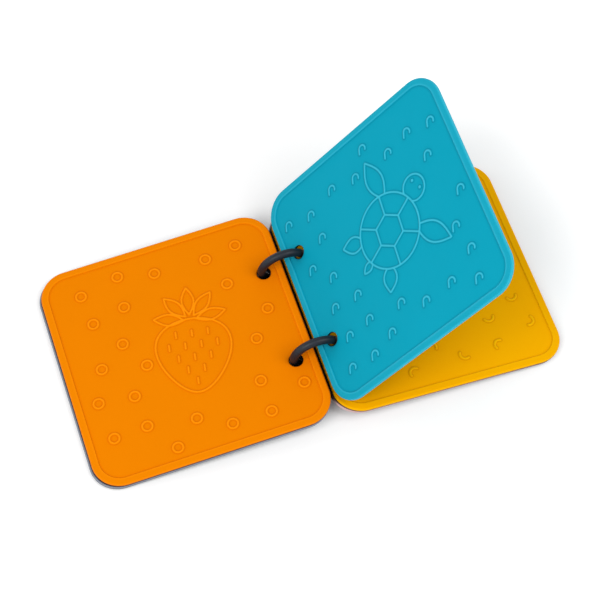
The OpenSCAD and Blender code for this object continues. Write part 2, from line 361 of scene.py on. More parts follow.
@dataclass(frozen=True)
class TurtlePage:
    """Turtle seen from above among wavelets, on the teal page.

    Attributes:
        sizes: Sizes that all pages share.
        shell_d: Diameter of the shell.
        plate_r: Radius of the shell's middle plate.
        spoke_lap: How far a spoke's ends lie inside its neighbours.
        head_d: Diameter of the head.
        eye_d: Diameter of an eye.
        eye_at: Place of an eye from the head's middle.
        flipper: Length, width, place angle and sweep of a front flipper.
        rear_flipper: The same for a rear flipper.
        tail: The same for the tail.
        head_lap: How far the head and tail reach in under the shell.
        flipper_lap: How far a flipper reaches in under the shell.
        at: Middle of the shell.
        turn: Turn of the turtle in degrees.
        wavelet_r: Radius of a wavelet's crest.
        wavelet_leg: Length of a wavelet's leg.
        wavelet_turn: Turn of the wavelets in degrees.
        wavelet_pitch: Distance between neighbouring wavelets.
    """

    sizes: PageSizes
    shell_d: float = 38
    plate_r: float = 8.5
    spoke_lap: float = 0.4
    head_d: float = 14
    eye_d: float = 1.6
    eye_at: tuple[float, float] = (2, 3)
    flipper: tuple[float, float, float, float] = (23, 10, 50, 22)
    rear_flipper: tuple[float, float, float, float] = (14, 8, 140, 0)
    tail: tuple[float, float, float, float] = (8, 4, 180, 0)
    head_lap: float = 2
    flipper_lap: float = 3
    at: tuple[float, float] = (5, 2)
    turn: float = 25
    wavelet_r: float = 1.9
    wavelet_leg: float = 2.4
    wavelet_turn: float = -20
    wavelet_pitch: float = 15.2

    def limb(self, form: Sequence[float], side: int, lap: float) -> Stroke:
        """Returns one limb.

        Args:
            form: Length, width, place angle and sweep of the limb.
            side: 1 for the left limb and -1 for the right one.
            lap: How far it reaches in under the shell.

        Returns:
            The limb's outline, with the part under the shell.
        """
        length, width, angle, sweep = form
        limb = blade_stroke(length, width).placed((0, 0), sweep * side)
        return limb.placed((self.shell_d / 2 - lap, 0)).placed((0, 0), angle * side)

    def turtle(self) -> list[Stroke]:
        """Returns the strokes of the turtle about the shell's middle."""
        shell = ring_stroke(self.shell_d)
        corners = arc((0, 0), self.plate_r, 0, 300, 6)
        strokes = [shell, Stroke(corners, closed=True)]
        spoke_end = self.shell_d / 2 - 2 * self.spoke_lap
        spoke = np.array([[self.plate_r + self.spoke_lap, 0], [spoke_end, 0]])
        strokes += [Stroke(turned(spoke, 60 * i)) for i in range(6)]
        head_at = np.array([self.shell_d / 2 + self.head_d / 2 - self.head_lap, 0])
        limbs = [ring_stroke(self.head_d).placed(head_at), self.limb(self.tail, 1, self.head_lap)]
        for side in (-1, 1):
            limbs.append(self.limb(self.flipper, side, self.flipper_lap))
            limbs.append(self.limb(self.rear_flipper, side, self.flipper_lap))
            eye = head_at + np.array([self.eye_at[0], self.eye_at[1] * side])
            strokes.append(Stroke(np.array([eye, eye + [0.05, 0]]), half=self.eye_d / 2))
        for limb in limbs:
            strokes += limb.outside(self.shell_d / 2 - shell.half)
        return strokes

    def wavelet(self) -> Stroke:
        """Returns a crest with one longer leg."""
        crest = arc((0, 0), self.wavelet_r, 180, -18, 24)
        return Stroke(np.vstack([[-self.wavelet_r, -self.wavelet_leg], crest]))

    def strokes(self) -> list[Stroke]:
        """Returns all strokes of the page, from its middle."""
        half = self.shell_d / 2 + self.flipper[0] - self.sizes.drawing_clear
        places = self.sizes.mark_places(self.wavelet_pitch, -1, self.at, (half, half))
        drawing = [s.placed(self.at, self.turn) for s in self.turtle()]
        return drawing + [self.wavelet().placed(p, self.wavelet_turn) for p in places]


@dataclass(frozen=True)
class FlowerPage:
    """Flower with eight petals among crescents, on the yellow page.

    Attributes:
        sizes: Sizes that all pages share.
        eye_d: Diameter of the flower's eye.
        petal_l: Length of a petal.
        petal_w: Width of a petal.
        petal_lap: How far a petal reaches in under the eye.
        petal_count: Number of petals.
        at: Middle of the flower.
        crescent_r: Radius of a crescent.
        crescent_half: Half of a crescent's angle in degrees.
        crescent_turn: Degrees that a crescent turns for each millimetre across and up.
        crescent_pitch: Distance between neighbouring crescents.
    """

    sizes: PageSizes
    eye_d: float = 15
    petal_l: float = 20
    petal_w: float = 10
    petal_lap: float = 2
    petal_count: int = 8
    at: tuple[float, float] = (6, 2)
    crescent_r: float = 2.6
    crescent_half: float = 75
    crescent_turn: tuple[float, float] = (53, 31)
    crescent_pitch: float = 17

    def flower(self) -> list[Stroke]:
        """Returns the strokes of the flower about its middle."""
        eye = ring_stroke(self.eye_d)
        strokes = [eye, ring_stroke(self.eye_d / 2)]
        for i in range(self.petal_count):
            petal = blade_stroke(self.petal_l, self.petal_w)
            petal = petal.placed((self.eye_d / 2 - self.petal_lap, 0))
            petal = petal.placed((0, 0), 360 / self.petal_count * i)
            strokes += petal.outside(self.eye_d / 2 - eye.half)
        return strokes

    def strokes(self) -> list[Stroke]:
        """Returns all strokes of the page, from its middle."""
        half = self.eye_d / 2 + self.petal_l - self.petal_lap + self.sizes.drawing_clear
        places = self.sizes.mark_places(self.crescent_pitch, -1, self.at, (half, half))
        crescent = Stroke(arc((0, 0), self.crescent_r, -self.crescent_half, self.crescent_half, 24))
        drawing = [s.placed(self.at) for s in self.flower()]
        turns = [self.crescent_turn[0] * p[0] + self.crescent_turn[1] * p[1] for p in places]
        return drawing + [crescent.placed(p, turn) for p, turn in zip(places, turns)]


@dataclass(frozen=True)
class Relief:
    """Height, and painted highlight and shade, of a field with moulded ridges, in millimetres.

    Attributes:
        strokes: The ridges' middle lines.
        height: Height of a ridge.
        crest: How far the level crest reaches from a ridge's middle line.
        foot: How far the slope reaches from a ridge's middle line.
        hollow_w: Width of the painted shade in the hollow beside a ridge.
        step: Spacing of the mesh along a ridge.
        rows: Distances of the mesh rows from a ridge's middle line.
        closest: Least distance between two points of the mesh.
    """

    strokes: list[Stroke]
    height: float = 0.35
    crest: float = 0.24
    foot: float = 0.74
    hollow_w: float = 0.4
    step: float = 0.5
    rows: tuple[float, ...] = (0, 0.17, 0.33, 0.49, 0.65, 0.78, 1.0, 1.35)
    closest: float = 0.12

    def distance(self, points: np.ndarray, block: int = 400) -> np.ndarray:
        """Measures how far points lie from the nearest ridge.

        Args:
            points: The points, from the middle of the page.
            block: How many points are measured at once.

        Returns:
            Distances from the middle line of a ridge of the usual width.
        """
        if not self.strokes:
            return np.full(len(points), 1e3)
        starts, ends, extra = [], [], []
        for stroke in self.strokes:
            a, b = stroke.segments()
            starts.append(a)
            ends.append(b)
            extra.append(np.full(len(a), stroke.wider))
        start, end, wider = np.vstack(starts), np.vstack(ends), np.concatenate(extra)
        way = end - start
        length2 = np.maximum((way**2).sum(1), 1e-12)
        found = []
        for i in range(0, len(points), block):
            p = points[i : i + block, None, :]
            t = np.clip(((p - start) * way).sum(2) / length2, 0, 1)
            gap = np.linalg.norm(p - start - t[..., None] * way, axis=2) - wider
            found.append(gap.min(1))
        return np.maximum(np.concatenate(found), 0)

    def heights(self, distance: np.ndarray) -> np.ndarray:
        """Returns the height above the field at distances from the nearest ridge."""
        slope = smooth_step((self.foot - distance) / (self.foot - self.crest))
        dome = 0.1 * np.clip(1 - (distance / self.crest) ** 2, 0, 1)
        return self.height * (0.9 * slope + dome)

    def shades(self, distance: np.ndarray) -> np.ndarray:
        """Returns a painted highlight of 1 on a crest and a painted shade down to -1 in the hollow
        beside a ridge.
        """
        # The slope gives the painted highlight on the crest, the hollow the painted shade beside
        # it.
        slope = smooth_step((self.foot - distance) / (self.foot - self.crest))
        hollow = np.exp(-(((distance - self.foot) / self.hollow_w) ** 2))
        return slope - hollow * (1 - slope)

    def mesh_points(self) -> np.ndarray:
        """Spreads mesh points in rows along the ridges, nearest rows first."""
        taken: set[tuple[int, int]] = set()
        kept: list[tuple[float, float]] = []

        def offer(points: np.ndarray) -> None:
            """Keeps those points that lie clear of the points kept before."""
            for x, y in points:
                cell = (round(x / self.closest), round(y / self.closest))
                if cell not in taken:
                    kept.append((x, y))
                    taken.update((cell[0] + i, cell[1] + j) for i in (-1, 0, 1) for j in (-1, 0, 1))

        lines = []
        for stroke in self.strokes:
            line = stroke.even(self.step)
            if stroke.closed:
                way = np.roll(line, -1, axis=0) - np.roll(line, 1, axis=0)
            else:
                way = np.gradient(line, axis=0)
            way /= np.maximum(np.linalg.norm(way, axis=1), 1e-9)[:, None]
            lines.append((stroke, line, np.stack([way[:, 1], -way[:, 0]], axis=1)))
        for row in self.rows:
            for stroke, line, side in lines:
                gap = row + (stroke.wider if row else 0)
                offer(line + gap * side)
                if row:
                    offer(line - gap * side)
                    ends = [] if stroke.closed else [line[0], line[-1]]
                    for end in ends:
                        offer(arc(end, gap, 0, 345, 24))
        return np.array(kept).reshape(-1, 2)


class Side(Enum):
    """The two faces of a leaf, with the sign of each along the leaf's own height."""

    UPPER = 1
    LOWER = -1


@dataclass(frozen=True)
class LeafPlace:
    """Where a leaf lies: a flat frame about the rings' centre line, in metres.

    Attributes:
        axis: A point on the rings' centre line.
        out: Direction from the spine edge to the fore edge.
        up: Direction in which the leaf's height is counted.
        spine_u: Distance of the spine edge from the centre line.
        fore_u: Distance of the fore edge from the centre line.
        low_y: Lower end of the leaf along the spine.
        high_y: Upper end of the leaf along the spine.
        low_n: Height of the lower face.
        high_n: Height of the upper face.
    """

    axis: np.ndarray
    out: np.ndarray
    up: np.ndarray
    spine_u: float
    fore_u: float
    low_y: float
    high_y: float
    low_n: float
    high_n: float

    @classmethod
    def measured(cls, node: bpy.types.Object, axis: Sequence[float]) -> LeafPlace:
        """Measures a leaf's place on its solid in the frame.

        Args:
            node: The leaf's solid.
            axis: A point on the hinge line that all leaves turn about.

        Returns:
            The leaf's place.
        """
        mesh = node.data
        largest = max(mesh.polygons, key=lambda p: p.area)
        normal = np.array(largest.normal, float)
        co = np.array([v.co for v in mesh.vertices], float) - np.array([axis[0], 0, axis[2]])
        out = np.array([normal[2], 0, -normal[0]])
        out /= np.linalg.norm(out)
        if co.mean(0) @ out < 0:
            out = -out
        up = np.array([-out[2], 0, out[0]])
        u, n, y = co @ out, co @ up, co[:, 1]
        return cls(
            axis=np.array([axis[0], 0, axis[2]], float), out=out, up=up,
            spine_u=u.min(), fore_u=u.max(), low_y=y.min(), high_y=y.max(),
            low_n=n.min(), high_n=n.max(),
        )

    @property
    def width(self) -> float:
        """Width of the leaf in millimetres."""
        return (self.fore_u - self.spine_u) / MM

    @property
    def height(self) -> float:
        """Height of the leaf in millimetres."""
        return (self.high_y - self.low_y) / MM

    @property
    def thickness(self) -> float:
        """Thickness of the leaf in millimetres."""
        return (self.high_n - self.low_n) / MM

    def world(self, points: np.ndarray) -> np.ndarray:
        """Places leaf points in the frame.

        Args:
            points: Millimetres from the spine edge, from the leaf's middle along
                the spine, and from the lower face.

        Returns:
            The points in metres.
        """
        u = self.spine_u + points[:, 0] * MM
        y = (self.low_y + self.high_y) / 2 + points[:, 1] * MM
        n = self.low_n + points[:, 2] * MM
        along = np.array([0.0, 1.0, 0.0])
        return self.axis + u[:, None] * self.out + y[:, None] * along + n[:, None] * self.up


@dataclass(frozen=True)
class LeafForm:
    """Cross-section sizes of a moulded leaf, in millimetres.

    Attributes:
        corner_r: Radius of the corners.
        edge_r: Rounding of the outer edge.
        rim_w: Distance of the rim's step from the outer edge.
        step_w: Width of the soft step from the rim down to the field.
        field_d: Depth of the field below the rim.
        parting_d: Depth of the mould's parting line round the edge.
        parting_w: Half width of that line.
        fillet: Rounding of a hole's edges.
        hole_r: Radius of a hole.
        hole_inset: Distance of the holes from the spine edge.
        hole_spacing: Distance between the holes.
        corner_steps: Mesh segments round a corner.
        edge_step: Mesh spacing along a straight edge.
        hole_steps: Mesh segments round a hole.
        round_steps: Mesh loops across the step and across the edge's rounding.
        fillet_steps: Mesh loops across the rounding of a hole.
        hole_rows: Distances of the mesh rows round a hole from its rounding.
        row_clear: Clear distance of the field's mesh from the loops round it.
        field_step: Mesh spacing in the plain field.
        foot_rows: Distance inside the step's foot and painted shade of the loops in the field.
        foot_painted_shade: Painted shade at the step's foot.
        lip_painted_highlight: Painted highlight along the top of the step.
        rim_shade: Lighter tint of the rim, from which the painted highlight on the rounded edge
            rises.
        hole_wall_painted_shade: Painted shade on a hole's wall.
        seam_painted_shade: Painted shade on the edge's half that lies close over the next leaf.
    """

    corner_r: float = 14.5
    edge_r: float = 0.9
    rim_w: float = 3.8
    step_w: float = 0.56
    field_d: float = 0.4
    parting_d: float = 0.035
    parting_w: float = 0.1
    fillet: float = 0.45
    hole_r: float = 3.4
    hole_inset: float = 10.1
    hole_spacing: float = 50.8
    corner_steps: int = 18
    edge_step: float = 2.0
    hole_steps: int = 48
    round_steps: int = 8
    fillet_steps: int = 7
    hole_rows: tuple[float, float] = (0.5, 1.2)
    row_clear: float = 0.3
    field_step: float = 2.6
    foot_rows: tuple[tuple[float, float], ...] = (
        (1.5, 0.0), (0.9, -0.06), (0.45, -0.2), (0.18, -0.38),
    )
    foot_painted_shade: float = -0.6
    lip_painted_highlight: float = 0.5
    rim_shade: float = 0.15
    hole_wall_painted_shade: float = -1.75
    seam_painted_shade: float = -1.9

    def outline(self, inset: float, width: float, height: float) -> np.ndarray:
        """Walks round the leaf at a distance inside its outer edge.

        Args:
            inset: Distance inside the outer edge.
            width: Width of the leaf.
            height: Height of the leaf.

        Returns:
            Points from the spine edge and from the middle along the spine, counter-clockwise;
            every inset gives as many.
        """
        r = self.corner_r
        left, right, low, high = r, width - r, r - height / 2, height / 2 - r
        centres = [(right, high), (left, high), (left, low), (right, low)]
        loop: list[np.ndarray] = []
        for i, centre in enumerate(centres):
            loop.append(arc(centre, r - inset, 90 * i, 90 * i + 90, self.corner_steps + 1))
            ahead = arc(centres[(i + 1) % 4], r - inset, 90 * i + 90, 90 * i + 90, 1)[0]
            span = height if i % 2 else width
            count = int((span - 2 * r) / self.edge_step)
            share = np.linspace(0, 1, count + 1)[1:-1, None]
            loop.append(loop[-1][-1] * (1 - share) + ahead * share)
        return np.vstack(loop)

    def profile(self, seam_with_painted_shade: bool) -> list[tuple[float, float, float]]:
        """Lists the edge loops of one face, from the field out to the edge.

        Args:
            seam_with_painted_shade: Whether this face's half of the edge lies close over the next
                leaf and gets painted shade.

        Returns:
            Inset, depth and painted shade or highlight of each loop.
        """
        foot = self.rim_w + self.step_w / 2
        # Loops in the field carry painted shade that deepens towards the step's foot; the step
        # turns from painted shade at its foot to a painted highlight on its top.
        rows = [(foot + out, self.field_d, shade) for out, shade in self.foot_rows]
        for t in np.linspace(0, 1, self.round_steps):
            depth = self.field_d * (1 - float(smooth_step(np.array(t))))
            shade = self.foot_painted_shade * (1 - t) + self.lip_painted_highlight * t
            rows.append((foot - self.step_w * t, depth, shade))
        rows.append((self.rim_w - self.step_w, 0, self.lip_painted_highlight))
        rows.append((self.rim_w - 2 * self.step_w, 0, self.rim_shade))
        rows.append((self.edge_r + 0.25, 0, self.rim_shade))
        # Rounded edge: painted highlight that rises to the crest colour, or painted shade on the
        # half that lies close over the next leaf.
        for a in np.radians(np.linspace(0, 90, self.round_steps)):
            inset = self.edge_r * (1 - math.sin(a))
            depth = self.edge_r * (1 - math.cos(a))
            crest = self.rim_shade + (1 - self.rim_shade) * math.sin(a) ** 2
            share = float(smooth_step(np.array(math.sin(a)))) if seam_with_painted_shade else 0
            rows.append((inset, depth, crest * (1 - share) + self.seam_painted_shade * share))
        return rows


def edge_bands(first: Sequence[int], second: Sequence[int]) -> list[tuple[int, ...]]:
    """Joins two closed loops of as many vertices with a band of quads.

    Args:
        first: Vertex numbers of one loop.
        second: Vertex numbers of the other loop.

    Returns:
        The quads.
    """
    ahead = [(i + 1) % len(first) for i in range(len(first))]
    return [(first[i], second[i], second[j], first[j]) for i, j in enumerate(ahead)]


@dataclass
class LeafMesh:
    """Builds one leaf as a single closed mesh.

    Attributes:
        place: Where the leaf lies.
        form: Cross-section sizes.
        drawings: Ridges of each face, in page coordinates; a face without is plain.
        seam_with_painted_shade: The face whose half of the edge lies close over the next leaf and
            gets painted shade.
        points: Vertices so far, in leaf coordinates.
        shade: Painted shade and highlight of each vertex, from -1 in a hollow to 1 on a crest,
            lower still where the painted shade is darkest.
        faces: Faces so far.
    """

    place: LeafPlace
    form: LeafForm
    drawings: dict[Side, Relief]
    seam_with_painted_shade: Side | None = None
    points: list[np.ndarray] = field(default_factory=list)
    shade: list[float] = field(default_factory=list)
    faces: list[tuple[int, ...]] = field(default_factory=list)

    def add(
        self, flat: np.ndarray, depth: np.ndarray | float, shade: np.ndarray | float, side: Side,
    ) -> list[int]:
        """Adds vertices at a depth below one face.

        Args:
            flat: Places from the spine edge and from the middle along the spine.
            depth: Depth below the face, one value or one for each vertex.
            shade: Painted shade or highlight, one value or one for each vertex.
            side: The face that the depth is counted from.

        Returns:
            The new vertices' numbers.
        """
        first = len(self.points)
        depth = np.broadcast_to(np.asarray(depth, float), (len(flat),))
        n = self.place.thickness - depth if side is Side.UPPER else depth
        self.points.extend(np.column_stack([flat, n]))
        self.shade.extend(np.broadcast_to(np.asarray(shade, float), (len(flat),)))
        return list(range(first, first + len(flat)))

    def band(self, first: Sequence[int], second: Sequence[int], side: Side) -> None:
        """Adds a band of quads between two loops, wound for the given face."""
        quads = edge_bands(first, second)
        self.faces += quads if side is Side.UPPER else [q[::-1] for q in quads]

    def page_xy(self, flat: np.ndarray, side: Side) -> np.ndarray:
        """Turns places on the leaf into page coordinates of one face."""
        x = flat[:, 0] - self.place.width / 2
        return np.stack([x if side is Side.UPPER else -x, flat[:, 1]], axis=1)

    def hole_centres(self) -> list[tuple[float, float]]:
        """Returns the centres of the two ring holes."""
        return [(self.form.hole_inset, s * self.form.hole_spacing / 2) for s in (-1, 1)]

    def field_points(self, side: Side) -> np.ndarray:
        """Chooses the mesh points inside one face's field.

        Args:
            side: The face.

        Returns:
            Places from the spine edge and from the middle along the spine.
        """
        form, place = self.form, self.place
        relief = self.drawings.get(side)
        found = []
        if relief:
            ridge = relief.mesh_points()
            x = ridge[:, 0] if side is Side.UPPER else -ridge[:, 0]
            found.append(np.stack([x + place.width / 2, ridge[:, 1]], axis=1))
        xs = np.arange(form.rim_w, place.width - form.rim_w, form.field_step)
        ys = np.arange(form.rim_w, place.height - form.rim_w, form.field_step) - place.height / 2
        grid = np.stack(np.meshgrid(xs, ys), axis=2).reshape(-1, 2)
        if relief:
            grid = grid[relief.distance(self.page_xy(grid, side)) > relief.rows[-1] + relief.step]
        found.append(grid)
        for centre in self.hole_centres():
            for out in form.hole_rows:
                radius = form.hole_r + form.fillet + out
                found.append(arc(centre, radius, 0, 360, form.hole_steps + 1)[:-1])
        flat = np.vstack(found)
        edge = form.rim_w + form.step_w / 2 + form.foot_rows[0][0] + form.row_clear
        half = np.array([place.width, place.height]) / 2
        over = np.abs(flat - [place.width / 2, 0]) - half + form.corner_r
        inside = np.where(
            (over > 0).all(1), np.linalg.norm(np.maximum(over, 0), axis=1) < form.corner_r - edge,
            (over < form.corner_r - edge).all(1),
        )
        for centre in self.hole_centres():
            nearest = form.hole_r + form.fillet + form.row_clear
            inside &= np.linalg.norm(flat - np.array(centre), axis=1) > nearest
        return flat[inside]

    def build_face(self, side: Side) -> tuple[list[int], list[list[int]]]:
        """Builds one face with its rim, down to the edge's middle and into the holes.

        Args:
            side: The face.

        Returns:
            The outermost loop, and the lowest loop inside each hole.
        """
        form, place = self.form, self.place
        rows = form.profile(side is self.seam_with_painted_shade)
        loops = []
        for inset, depth, shade in rows:
            outline = form.outline(inset, place.width, place.height)
            loops.append(self.add(outline, depth, shade, side))
        for inner, outer in zip(loops, loops[1:]):
            self.band(inner, outer, side)
        hole_starts, hole_ends = [], []
        for centre in self.hole_centres():
            inner = None
            for a in np.radians(np.linspace(0, 90, form.fillet_steps)):
                radius = form.hole_r + form.fillet * (1 - math.sin(a))
                depth = form.field_d + form.fillet * (1 - math.cos(a))
                circle = arc(centre, radius, 0, 360, form.hole_steps + 1)[:-1]
                # Painted highlight on the hole's rounded lip, turning into painted shade on its
                # wall.
                share = float(smooth_step(np.array(2 * math.sin(a) - 1)))
                shade = math.sin(a) * (1 - share) + form.hole_wall_painted_shade * share
                ahead = self.add(circle, depth, shade, side)
                if inner:
                    self.band(ahead, inner, side)
                else:
                    hole_starts.append(ahead)
                inner = ahead
            hole_ends.append(inner)
        self.fill_field(side, loops[0], hole_starts)
        return loops[-1], hole_ends

    def fill_field(self, side: Side, outer: list[int], holes: list[list[int]]) -> None:
        """Fills the field between the rim's foot and the holes with triangles.

        Args:
            side: The face.
            outer: Loop at the rim's foot.
            holes: Loops round the holes.
        """
        relief = self.drawings.get(side)
        flat = self.field_points(side)
        depth, shade = np.full(len(flat), self.form.field_d), np.zeros(len(flat))
        if relief:
            distance = relief.distance(self.page_xy(flat, side))
            depth -= relief.heights(distance)
            shade = relief.shades(distance)
        inner = self.add(flat, depth, shade, side)
        numbers = outer + [i for hole in holes for i in hole] + inner
        edges, first = [], 0
        for loop in [outer, *holes]:
            count = len(loop)
            edges += [(first + i, first + (i + 1) % count) for i in range(count)]
            first += count
        corners = [Vector(self.points[i][:2]) for i in numbers]
        inside_with_holes = 2
        result = delaunay_2d_cdt(corners, edges, [], inside_with_holes, 1e-6)
        vertices, triangles, sources = result[0], result[2], result[3]
        rims = [set(hole) for hole in holes]
        lookup = [numbers[source[0]] for source in sources]
        if len(set(lookup)) != len(vertices):
            raise ValueError("the field's triangles share a vertex twice")
        for triangle in triangles:
            ids = tuple(lookup[i] for i in triangle)
            if any(rim.issuperset(ids) for rim in rims):
                continue
            a, b, c = (self.points[i][:2] for i in ids)
            level = (b[0] - a[0]) * (c[1] - a[1]) - (b[1] - a[1]) * (c[0] - a[0])
            upwards = ids if level > 0 else ids[::-1]
            self.faces.append(upwards if side is Side.UPPER else upwards[::-1])

    def build(self, name: str) -> bpy.types.Object:
        """Builds the leaf.

        Args:
            name: Name of the new object.

        Returns:
            The leaf's object.
        """
        form, place = self.form, self.place
        upper, upper_holes = self.build_face(Side.UPPER)
        lower, lower_holes = self.build_face(Side.LOWER)
        middle = place.thickness / 2
        loop = upper
        for offset, inset in ((-form.parting_w, 0.0), (0, form.parting_d), (form.parting_w, 0.0)):
            outline = form.outline(inset, place.width, place.height)
            # Painted highlight round the edge's middle, a little less in the parting line, or
            # painted shade where the edge lies close over the next leaf.
            shade = form.seam_painted_shade if self.seam_with_painted_shade else 1 - 12 * inset
            ahead = self.add(outline, middle + offset, shade, Side.UPPER)
            self.band(loop, ahead, Side.UPPER)
            loop = ahead
        self.band(loop, lower, Side.UPPER)
        for top, bottom in zip(upper_holes, lower_holes):
            self.band(bottom, top, Side.UPPER)
        return make_mesh(name, place.world(np.array(self.points)), self.faces, np.array(self.shade))


def place_object(name: str, data: bpy.types.ID) -> bpy.types.Object:
    """Makes an object of mesh, camera or light data and links it to the scene."""
    obj = bpy.data.objects.new(name, data)
    bpy.context.scene.collection.objects.link(obj)
    return obj


def make_mesh(
    name: str, points: np.ndarray, faces: Sequence[tuple[int, ...]], shade: np.ndarray
) -> bpy.types.Object:
    """Makes a smooth object whose flat areas stay flat beside its roundings.

    Args:
        name: Name of the new object.
        points: Vertices in metres.
        faces: Faces by vertex number.
        shade: Painted shade and highlight of each vertex, kept as the attribute "relief".

    Returns:
        The object, linked to the scene.
    """
    mesh = bpy.data.meshes.new(name)
    mesh.from_pydata(points.tolist(), [], list(faces))
    mesh.validate()
    relief = mesh.attributes.new("relief", "FLOAT", "POINT")
    relief.data.foreach_set("value", shade.astype(np.float32))
    mesh.shade_smooth()
    normals = np.zeros_like(points)
    for size in (3, 4):
        group = np.array([f for f in faces if len(f) == size], int)
        if len(group):
            across = points[group[:, 2]] - points[group[:, 0]]
            other = points[group[:, -1]] - points[group[:, 1 if size == 4 else 0]]
            normal = np.cross(across, other)
            for corner in range(size):
                np.add.at(normals, group[:, corner], normal)
    normals /= np.maximum(np.linalg.norm(normals, axis=1), 1e-15)[:, None]
    mesh.normals_split_custom_set_from_vertices(normals.tolist())
    return place_object(name, mesh)


class NodePen:
    """Adds nodes to a node tree and joins them."""

    def __init__(self, tree: bpy.types.NodeTree) -> None:
        """Starts with an empty tree."""
        self.tree = tree
        tree.nodes.clear()

    def add(
        self, kind: str, inputs: dict[str | int, Any] | None = None, **settings: Any,
    ) -> bpy.types.Node:
        """Adds one node.

        Args:
            kind: The node's type.
            inputs: For each input, a value or the socket that feeds it.
            **settings: The node's own properties.

        Returns:
            The node.
        """
        node = self.tree.nodes.new(kind)
        for name, value in settings.items():
            setattr(node, name, value)
        for key, value in (inputs or {}).items():
            if isinstance(value, bpy.types.NodeSocket):
                self.tree.links.new(value, node.inputs[key])
            else:
                node.inputs[key].default_value = value
        return node

    def math(self, operation: str, *values: Any, clamp: bool = False) -> bpy.types.NodeSocket:
        """Adds a Math node and returns its output."""
        inputs = dict(enumerate(values))
        node = self.add("ShaderNodeMath", inputs, operation=operation, use_clamp=clamp)
        return node.outputs[0]

    def noise(
        self, place: bpy.types.NodeSocket, scale: Any, detail: float, roughness: float = 0.5,
    ) -> bpy.types.NodeSocket:
        """Adds a soft noise.

        Args:
            place: The texture coordinates.
            scale: Its fineness, or the socket that gives it.
            detail: How many finer layers it has.
            roughness: How strong the finer layers are.

        Returns:
            Its value, from 0 to 1.
        """
        inputs = {"Vector": place, "Scale": scale, "Detail": detail, "Roughness": roughness}
        return self.add("ShaderNodeTexNoise", inputs).outputs["Fac"]

    def openness(self, reach: float, samples: int) -> bpy.types.NodeSocket:
        """Returns how open a place is to the air within a reach in metres, from 0 to 1."""
        node = self.add("ShaderNodeAmbientOcclusion", {"Distance": reach}, samples=samples)
        return node.outputs["AO"]

    def mix(self, share: Any, first: Any, second: Any) -> bpy.types.NodeSocket:
        """Mixes two colours and returns the result."""
        node = self.add("ShaderNodeMix", {"Factor": share}, data_type="RGBA", clamp_factor=True)
        for socket, value in zip([s for s in node.inputs if s.type == "RGBA"], (first, second)):
            if isinstance(value, bpy.types.NodeSocket):
                self.tree.links.new(value, socket)
            else:
                socket.default_value = value
        return next(s for s in node.outputs if s.type == "RGBA")


def linear(colour: Sequence[float]) -> tuple[float, float, float, float]:
    """Turns a screen colour of 0 to 255 a channel into a linear one with full alpha."""
    parts = [c / 255 for c in colour]
    r, g, b = (p / 12.92 if p <= 0.04045 else ((p + 0.055) / 1.055) ** 2.4 for p in parts)
    return (r, g, b, 1.0)


@dataclass(frozen=True)
class PaintedCreviceShade:
    """Painted shade that darkens narrow places at one scale.

    Attributes:
        reach: How far neighbouring surfaces count, in metres.
        closed: Openness at which the surface is darkest.
        free: Openness from which it isn't darkened.
        darkest: Share of the colour's value that is left there.
    """

    reach: float
    closed: float
    free: float
    darkest: float


